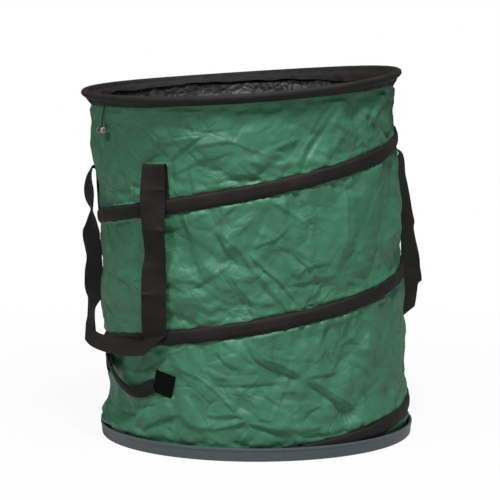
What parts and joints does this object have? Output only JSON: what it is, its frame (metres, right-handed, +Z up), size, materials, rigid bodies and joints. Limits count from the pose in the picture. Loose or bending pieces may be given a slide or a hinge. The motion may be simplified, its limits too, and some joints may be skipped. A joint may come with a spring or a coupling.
{
  "type": "garden waste bag",
  "caption": "Round pop-up garden waste bag: fabric wall on a spiral spring, hooped rim, webbing carry and tipping handles, moulded base tray.",
  "frame": {"origin": "centre of the base tray's flat underside", "axes": "+Z up, carry handles hang at -X and +X, the tipping handle is low on the -X side"},
  "size_m": [0.5715, 0.5348, 0.6146],
  "materials": {
    "tray_plastic": "fine-grained moulded plastic, slate grey",
    "rivet_steel": "plated steel",
    "black_lining": "coated woven fabric with a slight shine",
    "spring_steel": "drawn spring wire",
    "black_tape": "woven binding tape, black",
    "green_fabric": "woven polyester fabric, mid green",
    "black_webbing": "woven webbing, black",
    "elastic_cord": "braided elastic cord, black",
    "toggle_plastic": "moulded plastic, dark"
  },
  "bodies": {
    "base": {"base_tray": "tray_plastic", "rivet_1": "rivet_steel", "rivet_2": "rivet_steel", "rivet_3": "rivet_steel", "rivet_4": "rivet_steel", "bag_floor": "black_lining", "base_hoop": "spring_steel", "base_hoop_sleeve": "black_tape", "bag_wall": "green_fabric", "inner_lining": "black_lining", "spiral_spring": "spring_steel", "spiral_tape": "black_tape", "base_loop_left": "green_fabric", "base_loop_right": "green_fabric"},
    "rim": {"rim_hoop": "spring_steel", "rim_ferrule": "rivet_steel", "rim_hem": "black_tape"},
    "handle_band": {"left_anchor_front": "black_webbing", "left_anchor_rear": "black_webbing", "right_anchor_front": "black_webbing", "right_anchor_rear": "black_webbing"},
    "left_handle": {"left_handle": "black_webbing"},
    "right_handle": {"right_handle": "black_webbing"},
    "grab_band": {"grab_patch_front": "black_webbing", "grab_patch_rear": "black_webbing"},
    "grab_handle": {"grab_handle": "black_webbing"},
    "left_toggle": {"toggle_cord_left": "elastic_cord", "toggle_left": "toggle_plastic"},
    "right_toggle": {"toggle_cord_right": "elastic_cord", "toggle_right": "toggle_plastic"}
  },
  "joints": [
    {"name": "collapse", "type": "slide", "parent": "base", "child": "rim", "axis": [0, 0, -1], "range_m": [0, 0.48], "stiffness_N_per_m": 40, "springref_m": -0.3, "deforming": ["bag_wall", "inner_lining", "spiral_spring", "spiral_tape", "left_anchor_front", "left_anchor_rear", "right_anchor_front", "right_anchor_rear", "left_handle", "right_handle", "grab_patch_front", "grab_patch_rear", "grab_handle"]},
    {"name": "handle_band_drop", "type": "slide", "parent": "base", "child": "handle_band", "axis": [0, 0, -1], "range_m": [0, 0.3888]},
    {"name": "grab_band_drop", "type": "slide", "parent": "base", "child": "grab_band", "axis": [0, 0, -1], "range_m": [0, 0.0936]},
    {"name": "left_handle_swing", "type": "hinge", "parent": "handle_band", "child": "left_handle", "pos_m": [-0.24493, -0.00394, 0.45254], "axis": [-0.01, 0.9941, -0.1075], "range_deg": [0, 160]},
    {"name": "right_handle_swing", "type": "hinge", "parent": "handle_band", "child": "right_handle", "pos_m": [0.20272, 0.01957, 0.49487], "axis": [0.0958, -0.9862, -0.135], "range_deg": [0, 160]},
    {"name": "grab_handle_swing", "type": "hinge", "parent": "grab_band", "child": "grab_handle", "pos_m": [-0.24126, -0.019, 0.12232], "axis": [-0.0842, 0.9891, 0.1209], "range_deg": [0, 120]},
    {"name": "left_toggle_swing", "type": "hinge", "parent": "rim", "child": "left_toggle", "pos_m": [-0.2794, -0.00885, 0.55171], "axis": [-0.0349, 0.9994, 0], "range_deg": [0, 70]},
    {"name": "right_toggle_swing", "type": "hinge", "parent": "rim", "child": "right_toggle", "pos_m": [0.226, 0.00885, 0.58789], "axis": [0.0349, -0.9994, 0], "range_deg": [0, 70]}
  ],
  "couplings": [
    {"joint": "handle_band_drop", "follows": "collapse", "ratio": 0.81},
    {"joint": "grab_band_drop", "follows": "collapse", "ratio": 0.195}
  ]
}
